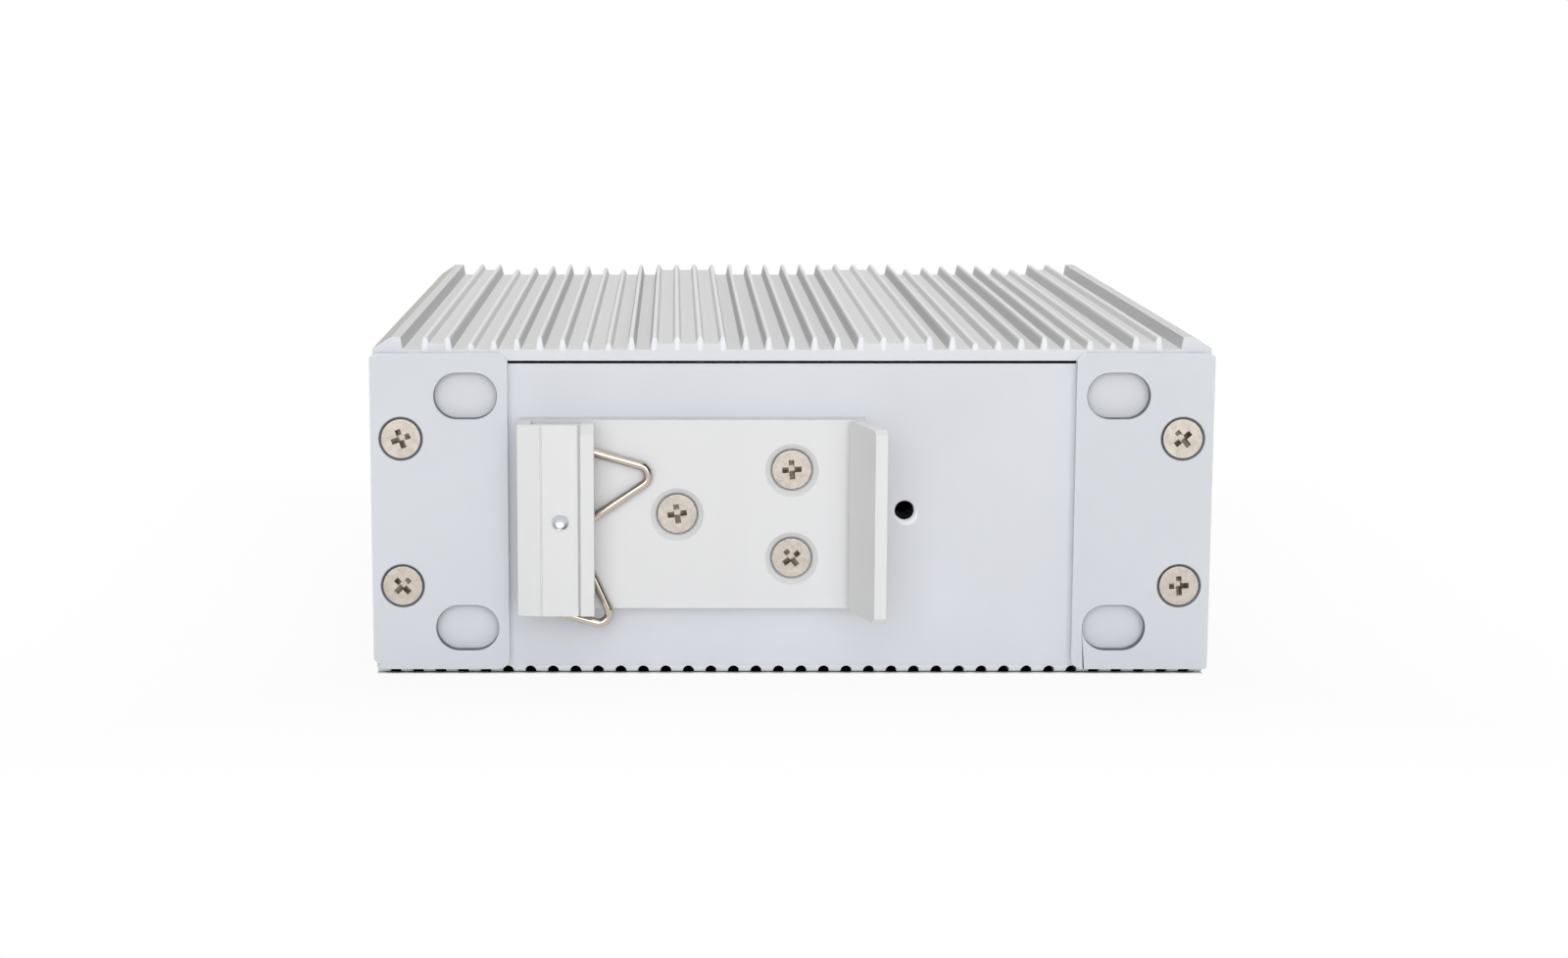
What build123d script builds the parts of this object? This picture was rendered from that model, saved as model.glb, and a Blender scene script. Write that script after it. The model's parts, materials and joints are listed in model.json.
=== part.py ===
from build123d import *
import os
from math import radians, sqrt, tan

# Industrial network switch for a 35 mm mounting rail. Millimetres, +Z up.
# Origin: centre of the bottom face. The rail clip is on the -Y side, the ports are on the +Y side.

# Case
CASE_WIDTH = 109.8
CASE_DEPTH = 115.0
SHEET = 1.2
PANEL_HEIGHT = 41.5
BEND_RADIUS = 1.5
LIP_HEIGHT = 7.0
FIT_GAP = 0.1

# Finned cover
WALL = 1.5
COVER_GAP = 0.35
COVER_BASE = 1.45
RIB_PITCH = 3.0
RIB_HEIGHT = 1.7
RIB_TIP = 0.45
RIB_ROOT = 1.2
WAVE_CENTRE = 11
WAVE_REACH = 3
WAVE_STEP = 0.27
STEP_HEIGHT = 0.8
STEP_FIRST = 3
STEP_LAST = 6
CORNER_WIDTH = 3.7
CORNER_SLOPE = 2.4
CORNER_DROP = 1.55
CORNER_FOOT = 0.3
PORT_RADIUS = 3.0
PORT_INSET = 3.7
PORT_SPAN = 19.6

# Ventilation slots across the rear bend
VENT_PITCH = 3.0
VENT_WIDTH = 1.45
VENT_TOP = 1.05
VENT_LENGTH = 12.0
VENT_MARGIN = 1.6

# Wall mounting ears, stored turned inwards
EAR_WIDTH = 18.0
EAR_THICKNESS = 1.5
EAR_OVERHANG = 0.3
EAR_BOTTOM = 0.9
EAR_TOP_DROP = 0.3
EAR_SLOT_LENGTH = 8.2
EAR_SLOT_WIDTH = 6.0
EAR_SLOT_INSET = 12.5
EAR_SLOT_END = 5.6
EAR_CORNER_RADIUS = 1.5
EAR_TOP_CUT = 1.1
EAR_OUTER_CUT = 0.5
EAR_LEFT_CUT = 1.3
EAR_RIGHT_CUT = 0.2

# Screws and threaded holes, drawn plain at the root of their threads
THREAD_BORE = 2.5
THREAD_GAP = 0.05
HOLE_DIAMETER = 3.4
SCREW_LENGTH = 8.0
FLAT_HEAD = 5.45
FLAT_HEAD_RIM = 0.2
HEAD_SEAT_GAP = 0.025
PAN_HEAD = 5.5
PAN_HEIGHT = 1.9
PAN_EDGE = 0.6

# Rail clip, one piece of extruded aluminium
RAIL_WIDTH = 35.0
RAIL_PLAY = 0.1
RAIL_ROOM = 1.5
CLIP_LENGTH = 25.0
CLIP_SIDE_GAP = 1.53
CLIP_PLATE = 3.0
CLIP_HOLE_SPAN = 11.7
CLIP_HOLE_REACH = 15.0
CLIP_HOLE_INSET = 8.4
CLIP_COUNTERSINK = 7.0
HOOK_CATCH = 0.95
HOOK_HEIGHT = 13.0
HOOK_LEAN = 18.0
HOOK_THICKNESS = 1.55
HOOK_BASE = 1.3
HOOK_CORNER = 0.6
LIP_CATCH = 0.93
LIP_THICKNESS = 1.7
LIP_CHAMFER = 1.2
HEAD_WIDTH = 9.9
HEAD_HEIGHT = 8.4
HEAD_WALL = 1.7
HEAD_SLOPE_WIDTH = 2.9
HEAD_SLOPE_DROP = 0.7
GROOVE_WIDTH = 0.4
GROOVE_DEPTH = 0.6
CREASE_WIDTH = 0.35
CREASE_DEPTH = 0.25
PUNCH_INSET = 5.57
PUNCH_DROP = 0.15
PUNCH_DIAMETER = 2.4
PUNCH_DEPTH = 0.9
PUNCH_PIN = 3.0

# Wire spring inside the clip's head
WIRE = 1.2
WIRE_LIFT = 0.1
WIRE_TILT = -15.8
WIRE_BEND = 1.4
SPRING_INSET = 7.01
SPRING_DROP = 2.15
SPRING_REACH = 9.14
SPRING_SPAN = 21.7
SPRING_END_BACK = 1.7

# Threaded bosses behind the rear panel
BOSS_DIAMETER = 6.4
BOSS_HEIGHT = 5.0
BOSS_RIM = 3.15

# Circuit board and its supports
STANDOFF_HEIGHT = 10.0
STANDOFF_FLATS = 5.5
STANDOFF_INSET = 4.0
STANDOFF_REAR_INSET = 5.0
STANDOFF_SETBACK = 10.0
BOARD_THICKNESS = 1.6
BOARD_SIDE_GAP = 0.7
BOARD_REAR_GAP = 7.5
BOARD_SETBACK = 0.8
BOARD_HOLE = 3.3

# Network jacks
JACK_PITCH = 16.4
JACK_SIDE_GAP = 0.65
JACK_HEADER_GAP = 0.2
JACK_WIDTH = 15.9
JACK_HEIGHT = 13.5
JACK_DEPTH = 21.0
JACK_SHELL = 0.3
CAVITY_WIDTH = 11.8
CAVITY_HEIGHT = 7.8
CAVITY_DEPTH = 13.0
CAVITY_FLOOR = 3.4
LATCH_WIDTH = 6.0
LATCH_DROP = 1.6
CONTACT_COUNT = 8
CONTACT_PITCH = 1.02
CONTACT_WIDTH = 0.45
CONTACT_THICKNESS = 0.35
CONTACT_DROP = 2.6
CONTACT_SLOPE = 7.0
CONTACT_HEEL = 2.5
WINDOW_MARGIN = 0.8

# Power terminal header
HEADER_SIDE_GAP = 1.3
HEADER_WIDTH = 12.6
HEADER_HEIGHT = 7.25
HEADER_DEPTH = 9.2
HEADER_WALL = 0.7
HEADER_FLOOR = 1.7
HEADER_PITCH = 3.81
HEADER_POLES = 3
HEADER_PIN = 1.0
HEADER_PIN_RECESS = 1.5
HEADER_WINDOW_GAP = 0.2

# Indicator lights
LED_SIZE = (1.6, 0.8, 0.8)
LED_GAP = 0.3
PIPE_WIDTH = 2.0
PIPE_LIFT = 2.9
PIPE_BACK = 1.7
LENS_DIAMETER = 2.2
LENS_OUT = 0.4

# Ground screw
GROUND_NUT_GAP = 0.3
GROUND_SHANK = 3.9
GROUND_LENGTH = 8.0
GROUND_HEAD = 7.0
GROUND_HEAD_HEIGHT = 2.6
GROUND_WASHER = 8.0
GROUND_WASHER_THICKNESS = 0.8
GROUND_NUT_FLATS = 7.0
GROUND_NUT_HEIGHT = 3.2

# Lower screws that hold the front panel to the tray's front lip
LIP_SCREW_INSET = 29.9
LIP_SCREW_Z = 3.7
LIP_SCREW_LENGTH = 5.0

# Parts on the board
CHIP_SETBACK = 35.5
CHIP_SIZE = 20.0
CHIP_HEIGHT = 1.5
PAD_SIZE = 18.0
LOWER_PAD = 1.0
UPPER_PAD = 0.5
BLOCK_WIDTH = 34.0
BLOCK_DEPTH = 24.0
BLOCK_LEG = 5.0
BLOCK_SCREW_BORE = 2.5
BLOCK_SCREW_DEPTH = 8.0
BLOCK_SCREW_END_GAP = 0.3
BLOCK_SCREW_HEAD = 4.7
BLOCK_SCREW_HEAD_HEIGHT = 1.6
MAGNETICS_SIZE = (12.7, 9.5, 5.9)
MAGNETICS_SETBACK = 8.1
CAPACITOR_DIAMETER = 8.0
CAPACITOR_HEIGHT = 11.5
CAPACITOR_INSET = 9.5
CAPACITOR_LEAD = 2.0
CAPACITOR_PITCH = 10.0
INDUCTOR_SIZE = 12.0
INDUCTOR_HEIGHT = 6.0
INDUCTOR_INSET = 10.5
INDUCTOR_SETBACK = 14.0
CONVERTER_SIZE = (6.0, 5.0, 1.5)
CONVERTER_INSET = 22.5
CONVERTER_SETBACK = 17.0
CRYSTAL_SIZE = (11.0, 4.6, 3.5)
CRYSTAL_REACH = 27.0
MEMORY_SIZE = (5.2, 5.2, 1.6)
MEMORY_SETBACK = 12.0

# Levels and faces worked out from the sizes above
REAR = -CASE_DEPTH / 2
FRONT = CASE_DEPTH / 2
PANEL_BACK = FRONT - SHEET
HALF = CASE_WIDTH / 2
INNER_HALF = HALF - WALL
COVER_UNDER = PANEL_HEIGHT + COVER_GAP
VALLEY = COVER_UNDER + COVER_BASE
RIB_TOP = VALLEY + RIB_HEIGHT
EAR_TOP = VALLEY - EAR_TOP_DROP
EAR_MIDDLE = (EAR_BOTTOM + EAR_TOP) / 2
EAR_FACE = REAR - EAR_THICKNESS
EAR_OUTER = HALF + EAR_OVERHANG
EAR_INNER = EAR_OUTER - EAR_WIDTH
EAR_COUNTERSINK = FLAT_HEAD + 2 * (FLAT_HEAD_RIM + HEAD_SEAT_GAP)
PORT_X = HALF - PORT_INSET
PORT_EDGE = PORT_X - PORT_RADIUS
PORT_LEVELS = (EAR_MIDDLE - PORT_SPAN / 2, EAR_MIDDLE + PORT_SPAN / 2)
PLATE_FACE = REAR - CLIP_PLATE
HEAD_FACE = REAR - HEAD_HEIGHT
HEAD_LEFT = CLIP_SIDE_GAP - EAR_INNER
LIP_TIP = HEAD_LEFT + HEAD_WIDTH
HOOK_ROOT = LIP_TIP - LIP_CATCH + RAIL_WIDTH + RAIL_PLAY
CLIP_TOP = EAR_MIDDLE + CLIP_LENGTH / 2
CLIP_BOTTOM = EAR_MIDDLE - CLIP_LENGTH / 2
CLIP_CENTRE = HOOK_ROOT - CLIP_HOLE_INSET
CLIP_HOLES = (
    (CLIP_CENTRE - CLIP_HOLE_REACH, EAR_MIDDLE),
    (CLIP_CENTRE, EAR_MIDDLE - CLIP_HOLE_SPAN / 2),
    (CLIP_CENTRE, EAR_MIDDLE + CLIP_HOLE_SPAN / 2),
)
SPARE_HOLE = (CLIP_CENTRE + CLIP_HOLE_REACH, EAR_MIDDLE)
PUNCH_X = HEAD_LEFT + PUNCH_INSET
PUNCH_Z = EAR_MIDDLE - PUNCH_DROP
BOARD_UNDER = SHEET + STANDOFF_HEIGHT
BOARD_TOP = BOARD_UNDER + BOARD_THICKNESS
BOARD_HALF = PORT_EDGE - BOARD_SIDE_GAP
BOARD_REAR = REAR + BOARD_REAR_GAP
BOARD_FRONT = PANEL_BACK - BOARD_SETBACK
HEADER_X = PORT_EDGE - HEADER_SIDE_GAP - HEADER_WIDTH / 2
JACK_FIRST = JACK_SIDE_GAP + JACK_WIDTH / 2 - PORT_EDGE
JACK_ROOM = HEADER_X - HEADER_WIDTH / 2 - JACK_HEADER_GAP - JACK_WIDTH / 2 - JACK_FIRST
JACK_COUNT = 1 + int(JACK_ROOM / JACK_PITCH)
JACK_XS = [JACK_FIRST + JACK_PITCH * n for n in range(JACK_COUNT)]
CAVITY_BASE = BOARD_TOP + CAVITY_FLOOR
CAVITY_TOP = CAVITY_BASE + CAVITY_HEIGHT
PIPE_Y = PANEL_BACK - JACK_DEPTH - PIPE_BACK
PIPE_LEVEL = BOARD_TOP + JACK_HEIGHT + PIPE_LIFT
PIPE_XS = JACK_XS + [HEADER_X]
GROUND_Z = SHEET + GROUND_NUT_FLATS / sqrt(3) + GROUND_NUT_GAP
LIP_SCREW_X = HALF - LIP_SCREW_INSET
MAGNETICS_Y = PIPE_Y - MAGNETICS_SETBACK
CHIP_Y = MAGNETICS_Y - CHIP_SETBACK
BLOCK_TOP = COVER_UNDER - UPPER_PAD
BLOCK_POCKET = BOARD_TOP + CHIP_HEIGHT + LOWER_PAD
BLOCK_SCREW_XS = [side * (BLOCK_WIDTH - BLOCK_LEG) / 2 for side in (-1, 1)]
STANDOFF_X = BOARD_HALF - STANDOFF_INSET
STANDOFF_YS = (BOARD_REAR + STANDOFF_REAR_INSET, MAGNETICS_Y - STANDOFF_SETBACK)
STANDOFF_SPOTS = [(x, y) for x in (-STANDOFF_X, STANDOFF_X) for y in STANDOFF_YS]
CAPACITOR_X = BOARD_HALF - CAPACITOR_INSET
CAPACITOR_YS = [CHIP_Y + CAPACITOR_LEAD + n * CAPACITOR_PITCH for n in range(2)]
INDUCTOR_SPOT = (BOARD_HALF - INDUCTOR_INSET, CHIP_Y - INDUCTOR_SETBACK)
CONVERTER_SPOT = (BOARD_HALF - CONVERTER_INSET, CHIP_Y - CONVERTER_SETBACK)
CRYSTAL_SPOT = (-CRYSTAL_REACH, CHIP_Y)
MEMORY_SPOT = (-CRYSTAL_REACH, CHIP_Y - MEMORY_SETBACK)
LOW, MID = Align.MIN, Align.CENTER


def block(x0, x1, y0, y1, z0, z1):
    """A box between two corners."""
    size = Box(x1 - x0, y1 - y0, z1 - z0, align=(LOW, LOW, LOW))
    return Pos(x0, y0, z0) * size


def standing(x, y, z, size):
    """A box of the given size that stands centred on a point."""
    return Pos(x, y, z) * Box(*size, align=(MID, MID, LOW))


def rod_y(x, z, y0, y1, radius, tip_radius=None):
    """A round bar, or a cone with a second radius, along Y from y0 to y1."""
    end = radius if tip_radius is None else tip_radius
    place = Pos(x, y0, z) * Rot(-90, 0, 0)
    if end == radius:
        return place * Cylinder(radius, y1 - y0, align=(MID, MID, LOW))
    return place * Cone(radius, end, y1 - y0, align=(MID, MID, LOW))


def upright(x, y, z0, z1, radius):
    """A round bar along Z."""
    return Pos(x, y, z0) * Cylinder(radius, z1 - z0, align=(MID, MID, LOW))


def prism_y(points, y0, y1):
    """A polygon drawn in X and Z, carried along Y from y0 to y1."""
    face = Plane.XZ.offset(-y1) * make_face(Polyline(*points, close=True))
    return extrude(face, y1 - y0)


def rib_reach():
    """How many ribs stand on each side of the middle one."""
    return int((HALF - CORNER_WIDTH - CORNER_FOOT - RIB_ROOT) / RIB_PITCH)


def rib_level(index):
    """Top of a rib: lower towards the troughs of the two waves."""
    distance = abs(abs(index) - WAVE_CENTRE)
    if distance > WAVE_REACH:
        return RIB_TOP
    return RIB_TOP - WAVE_STEP * distance


def floor_level(index):
    """Floor between a rib and its outer neighbour, counted from the middle."""
    if STEP_FIRST <= index < STEP_LAST or index == rib_reach() - 1:
        return VALLEY + STEP_HEIGHT
    return VALLEY


def rib_points():
    """Outline of all ribs from left to right."""
    points = []
    reach = rib_reach()
    for index in range(-reach, reach + 1):
        x = index * RIB_PITCH
        left = floor_level(abs(index) - 1 if index > 0 else abs(index))
        right = floor_level(abs(index) - 1 if index < 0 else abs(index))
        points.append((x - RIB_ROOT / 2, left))
        points.append((x - RIB_TIP / 2, rib_level(index)))
        points.append((x + RIB_TIP / 2, rib_level(index)))
        points.append((x + RIB_ROOT / 2, right))
    return points


def finned_cover():
    """Extruded aluminium top and side walls, with four screw ports at each end."""
    corner = [
        (-HALF, SHEET),
        (-HALF, RIB_TOP - CORNER_DROP),
        (-HALF + CORNER_SLOPE, RIB_TOP),
        (-HALF + CORNER_WIDTH, RIB_TOP),
        (-HALF + CORNER_WIDTH + CORNER_FOOT, VALLEY),
    ]
    inside = [
        (INNER_HALF, SHEET),
        (INNER_HALF, COVER_UNDER),
        (-INNER_HALF, COVER_UNDER),
        (-INNER_HALF, SHEET),
    ]
    mirrored = [(-x, z) for x, z in reversed(corner)]
    body = prism_y(corner + rib_points() + mirrored + inside, REAR, FRONT)
    ends = [(REAR, REAR + SHEET), (PANEL_BACK, FRONT)]
    for side in (-1, 1):
        for level in PORT_LEVELS:
            body += rod_y(side * PORT_X, level, REAR, FRONT, PORT_RADIUS)
            body -= rod_y(side * PORT_X, level, REAR, FRONT, THREAD_BORE / 2)
    for y0, y1 in ends:
        body -= block(-HALF, HALF, y0, y1, 0, COVER_UNDER)
    return body


def vent_cutter():
    """One slot: up the rear panel to a round top, and along the bottom to a round end."""
    radius = VENT_WIDTH / 2
    shoulder = VENT_TOP - radius
    inner = REAR + SHEET
    end = REAR + VENT_LENGTH - radius
    cutter = rod_y(0, shoulder, REAR - SHEET, inner, radius)
    cutter += block(-radius, radius, REAR - SHEET, inner, -SHEET, shoulder)
    cutter += block(-radius, radius, inner, end, -SHEET, 2 * SHEET)
    cutter += upright(0, end, -SHEET, 2 * SHEET, radius)
    return cutter


def chassis_tray():
    """Folded sheet: rear panel, bottom and a short front lip, with slots across the rear bend."""
    length = PANEL_BACK - REAR
    middle = (PANEL_BACK + REAR) / 2
    outer = Pos(middle, PANEL_HEIGHT / 2) * Rectangle(length, PANEL_HEIGHT)
    outer = fillet(outer.vertices().group_by(Axis.Y)[0], BEND_RADIUS)
    inner = Pos(middle, PANEL_HEIGHT / 2 + SHEET) * Rectangle(length - 2 * SHEET, PANEL_HEIGHT)
    inner = fillet(inner.vertices().group_by(Axis.Y)[0], BEND_RADIUS - SHEET)
    lowered = Rectangle(4 * SHEET, PANEL_HEIGHT - LIP_HEIGHT)
    lowered = Pos(PANEL_BACK, (PANEL_HEIGHT + LIP_HEIGHT) / 2) * lowered
    tray = extrude(Plane.YZ * (outer - inner - lowered), HALF, both=True)
    for side in (-1, 1):
        near, far = sorted((side * (INNER_HALF - FIT_GAP), side * HALF))
        tray -= block(near, far, REAR + SHEET, PANEL_BACK, SHEET, LIP_HEIGHT)
        tray -= rod_y(side * LIP_SCREW_X, LIP_SCREW_Z, PANEL_BACK - SHEET, PANEL_BACK, THREAD_BORE / 2)
        for level in PORT_LEVELS:
            tray -= rod_y(side * PORT_X, level, REAR, REAR + SHEET, HOLE_DIAMETER / 2)
    for x, z in CLIP_HOLES + (SPARE_HOLE,):
        tray -= rod_y(x, z, REAR, REAR + SHEET, THREAD_BORE / 2)
        tray -= rod_y(x, z, REAR, REAR + (BOSS_RIM - THREAD_BORE) / 2, BOSS_RIM / 2, THREAD_BORE / 2)
    tray -= rod_y(HEADER_X, GROUND_Z, PANEL_BACK - SHEET, PANEL_BACK, GROUND_SHANK / 2 + FIT_GAP)
    cutter = vent_cutter()
    pairs = int((HALF - VENT_MARGIN) / VENT_PITCH + 0.5)
    places = [(n - pairs + 0.5) * VENT_PITCH for n in range(2 * pairs)]
    return tray - [Pos(x, 0, 0) * cutter for x in places]


def front_panel():
    """Flat sheet with windows for the jacks, the power header and the light lenses."""
    panel = block(-HALF, HALF, PANEL_BACK, FRONT, 0, PANEL_HEIGHT)
    half_window = CAVITY_WIDTH / 2 + WINDOW_MARGIN
    for x in JACK_XS:
        low = CAVITY_BASE - LATCH_DROP - WINDOW_MARGIN
        panel -= block(x - half_window, x + half_window, PANEL_BACK, FRONT, low, CAVITY_TOP + WINDOW_MARGIN)
    half_header = HEADER_WIDTH / 2 + HEADER_WINDOW_GAP
    low = BOARD_TOP - HEADER_WINDOW_GAP
    high = BOARD_TOP + HEADER_HEIGHT + HEADER_WINDOW_GAP
    panel -= block(HEADER_X - half_header, HEADER_X + half_header, PANEL_BACK, FRONT, low, high)
    for x in PIPE_XS:
        panel -= rod_y(x, PIPE_LEVEL, PANEL_BACK, FRONT, LENS_DIAMETER / 2 + FIT_GAP)
    panel -= rod_y(HEADER_X, GROUND_Z, PANEL_BACK, FRONT, GROUND_SHANK / 2 + FIT_GAP)
    for side in (-1, 1):
        panel -= rod_y(side * LIP_SCREW_X, LIP_SCREW_Z, PANEL_BACK, FRONT, HOLE_DIAMETER / 2)
        for level in PORT_LEVELS:
            panel -= rod_y(side * PORT_X, level, PANEL_BACK, FRONT, HOLE_DIAMETER / 2)
    return panel


def countersink(x, z, face, diameter):
    """Cutter for a 90 degree countersink that opens at a face looking along -Y, and its hole."""
    depth = (diameter - HOLE_DIAMETER) / 2
    cone = rod_y(x, z, face, face + depth, diameter / 2, HOLE_DIAMETER / 2)
    return cone + rod_y(x, z, face, REAR + SHEET, HOLE_DIAMETER / 2)


def ear_outline(lower_cut):
    """Outline of the right ear in X and Z, from its inner bottom corner."""
    middle = Pos((EAR_INNER + EAR_OUTER) / 2, EAR_MIDDLE)
    face = middle * Rectangle(EAR_WIDTH, EAR_TOP - EAR_BOTTOM)
    corners = face.vertices().sort_by(Axis.X)
    inner_low, inner_high = corners[:2].sort_by(Axis.Y)
    outer_low, outer_high = corners[2:].sort_by(Axis.Y)
    face = fillet(inner_low, EAR_CORNER_RADIUS)
    face = chamfer(face.vertices().sort_by_distance(Vector(inner_high))[0], EAR_TOP_CUT)
    face = chamfer(face.vertices().sort_by_distance(Vector(outer_high))[0], EAR_OUTER_CUT, 2 * EAR_OUTER_CUT)
    return chamfer(face.vertices().sort_by_distance(Vector(outer_low))[0], lower_cut)


def wall_ear(side, lower_cut):
    """A flat bracket with two slots, screwed over the rear panel's end."""
    ear = extrude(Plane.XZ.offset(-REAR) * ear_outline(lower_cut), EAR_THICKNESS)
    for level in (EAR_BOTTOM + EAR_SLOT_END, EAR_TOP - EAR_SLOT_END):
        slot = Pos(EAR_OUTER - EAR_SLOT_INSET, level) * SlotOverall(EAR_SLOT_LENGTH, EAR_SLOT_WIDTH)
        ear -= extrude(Plane.XZ.offset(-REAR) * slot, EAR_THICKNESS)
    for level in PORT_LEVELS:
        ear -= countersink(PORT_X, level, EAR_FACE, EAR_COUNTERSINK)
    if side > 0:
        return ear
    return mirror(ear, Plane.YZ)


def flat_head_screw(x, z, face, length):
    """A countersunk screw whose head is level with a face that looks along -Y."""
    shank = THREAD_BORE / 2 - THREAD_GAP
    rim_end = face + FLAT_HEAD_RIM
    cone_end = rim_end + FLAT_HEAD / 2 - shank
    screw = rod_y(x, z, face, rim_end, FLAT_HEAD / 2)
    screw += rod_y(x, z, rim_end, cone_end, FLAT_HEAD / 2, shank)
    return screw + rod_y(x, z, cone_end, face + length, shank)


def pan_head_screw(x, z, face, length):
    """A pan head screw that sits on a face looking along +Y."""
    head = rod_y(x, z, face, face + PAN_HEIGHT, PAN_HEAD / 2)
    head = fillet(head.edges().group_by(Axis.Y)[-1], PAN_EDGE)
    return head + rod_y(x, z, face - length, face, THREAD_BORE / 2 - THREAD_GAP)


def clip_section():
    """Outline of the rail clip in X and in distance from the rear panel."""
    groove_top = CLIP_PLATE + RAIL_ROOM
    lean = tan(radians(HOOK_LEAN)) * (HOOK_HEIGHT - groove_top)
    foot = HOOK_ROOT - HOOK_CATCH
    base = HOOK_ROOT + HOOK_BASE
    ceiling = HEAD_HEIGHT - HEAD_WALL
    pocket = HEAD_LEFT + HEAD_WALL
    lip_inner = LIP_TIP - LIP_THICKNESS
    crease = HEAD_LEFT + HEAD_SLOPE_WIDTH
    points = [
        (HEAD_LEFT, 0),
        (base, 0),
        (base - GROOVE_WIDTH, groove_top),
        (foot + lean + HOOK_THICKNESS, HOOK_HEIGHT),
        (foot + lean, HOOK_HEIGHT),
        (foot, groove_top),
        (HOOK_ROOT, groove_top),
        (HOOK_ROOT, CLIP_PLATE),
        (pocket, CLIP_PLATE),
        (pocket, ceiling),
        (lip_inner, ceiling),
        (lip_inner, groove_top),
        (LIP_TIP, groove_top),
        (LIP_TIP, HEAD_HEIGHT),
        (lip_inner, HEAD_HEIGHT),
        (lip_inner - GROOVE_WIDTH / 2, HEAD_HEIGHT - GROOVE_DEPTH),
        (lip_inner - GROOVE_WIDTH, HEAD_HEIGHT),
        (crease + CREASE_WIDTH, HEAD_HEIGHT),
        (crease + CREASE_WIDTH / 2, HEAD_HEIGHT - CREASE_DEPTH),
        (crease, HEAD_HEIGHT),
        (HEAD_LEFT, HEAD_HEIGHT - HEAD_SLOPE_DROP),
    ]
    return make_face(Polyline(*points, close=True))


def rail_clip():
    """Clip for the mounting rail: plate, hollow head for the spring, and a leaning fixed hook."""
    section = Pos(0, REAR) * mirror(clip_section(), Plane.XZ)
    clip = extrude(Plane.XY.offset(CLIP_BOTTOM) * section, CLIP_LENGTH)
    tips = clip.edges().filter_by(Plane.XY).group_by(Axis.Y)[0]
    clip = chamfer(tips.group_by(Axis.Z)[0] + tips.group_by(Axis.Z)[-1], HOOK_CORNER)
    for x, z in CLIP_HOLES:
        clip -= countersink(x, z, PLATE_FACE, CLIP_COUNTERSINK)
    lip_left = LIP_TIP - LIP_THICKNESS
    slope = [(HEAD_FACE, CLIP_TOP), (HEAD_FACE + LIP_CHAMFER, CLIP_TOP), (HEAD_FACE, CLIP_TOP - LIP_CHAMFER)]
    wedge = extrude(Plane.YZ.offset(lip_left) * make_face(Polyline(*slope, close=True)), LIP_THICKNESS)
    clip -= wedge
    clip -= rod_y(PUNCH_X, PUNCH_Z, HEAD_FACE, HEAD_FACE + PUNCH_DEPTH, PUNCH_DIAMETER / 2, FIT_GAP)
    pin_end = PLATE_FACE - WIRE_LIFT
    pin = rod_y(PUNCH_X, PUNCH_Z, HEAD_FACE + HEAD_WALL, pin_end, PUNCH_PIN / 2, PUNCH_DIAMETER / 2)
    return clip + pin


def spring_path():
    """Centre line of the wire: an M whose middle bend rests beside the punched pin."""
    half = SPRING_SPAN / 2
    back = -SPRING_END_BACK
    points = [(back, half), (SPRING_REACH, half), (0, 0), (SPRING_REACH, -half), (back, -half)]
    flat = FilletPolyline(*points, radius=WIRE_BEND)
    level = PLATE_FACE - WIRE_LIFT - WIRE / 2
    middle = (HEAD_LEFT + SPRING_INSET, level, EAR_MIDDLE - SPRING_DROP)
    place = Plane(origin=middle, x_dir=(1, 0, 0), z_dir=(0, -1, 0))
    return place * Rot(0, 0, WIRE_TILT) * flat


def clip_spring():
    """Bent spring wire."""
    path = spring_path()
    start = Plane(origin=path @ 0, z_dir=path % 0)
    return sweep(start * Circle(WIRE / 2), path=path)


def threaded_boss(x, z):
    """A round nut behind the rear panel."""
    boss = rod_y(x, z, REAR + SHEET, REAR + SHEET + BOSS_HEIGHT, BOSS_DIAMETER / 2)
    return boss - rod_y(x, z, REAR + SHEET, REAR + SHEET + BOSS_HEIGHT, THREAD_BORE / 2)


def standoff(x, y):
    """A hexagonal spacer that stands on the tray."""
    post = extrude(RegularPolygon(STANDOFF_FLATS / sqrt(3), 6), STANDOFF_HEIGHT)
    post -= Cylinder(THREAD_BORE / 2, STANDOFF_HEIGHT, align=(MID, MID, LOW))
    return Pos(x, y, SHEET) * post


def board_screw(x, y):
    """A pan head screw from above, through the board into its spacer."""
    head = Pos(x, y, BOARD_TOP) * Cylinder(PAN_HEAD / 2, PAN_HEIGHT, align=(MID, MID, LOW))
    head = fillet(head.edges().group_by(Axis.Z)[-1], PAN_EDGE)
    return head + upright(x, y, BOARD_TOP - SCREW_LENGTH, BOARD_TOP, THREAD_BORE / 2 - THREAD_GAP)


def circuit_board():
    """The board, with holes for its screws."""
    board = block(-BOARD_HALF, BOARD_HALF, BOARD_REAR, BOARD_FRONT, BOARD_UNDER, BOARD_TOP)
    for x, y in STANDOFF_SPOTS:
        board -= upright(x, y, BOARD_UNDER, BOARD_TOP, BOARD_HOLE / 2)
    for x in BLOCK_SCREW_XS:
        board -= upright(x, CHIP_Y, BOARD_UNDER, BOARD_TOP, BLOCK_SCREW_BORE / 2 + 2 * FIT_GAP)
    return board


def jack_shell(x):
    """Metal shield over a jack, open in front and below."""
    half = JACK_WIDTH / 2
    back = PANEL_BACK - JACK_DEPTH
    top = BOARD_TOP + JACK_HEIGHT
    shell = block(x - half, x + half, back, PANEL_BACK, BOARD_TOP, top)
    half -= JACK_SHELL
    return shell - block(x - half, x + half, back + JACK_SHELL, PANEL_BACK, BOARD_TOP, top - JACK_SHELL)


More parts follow.
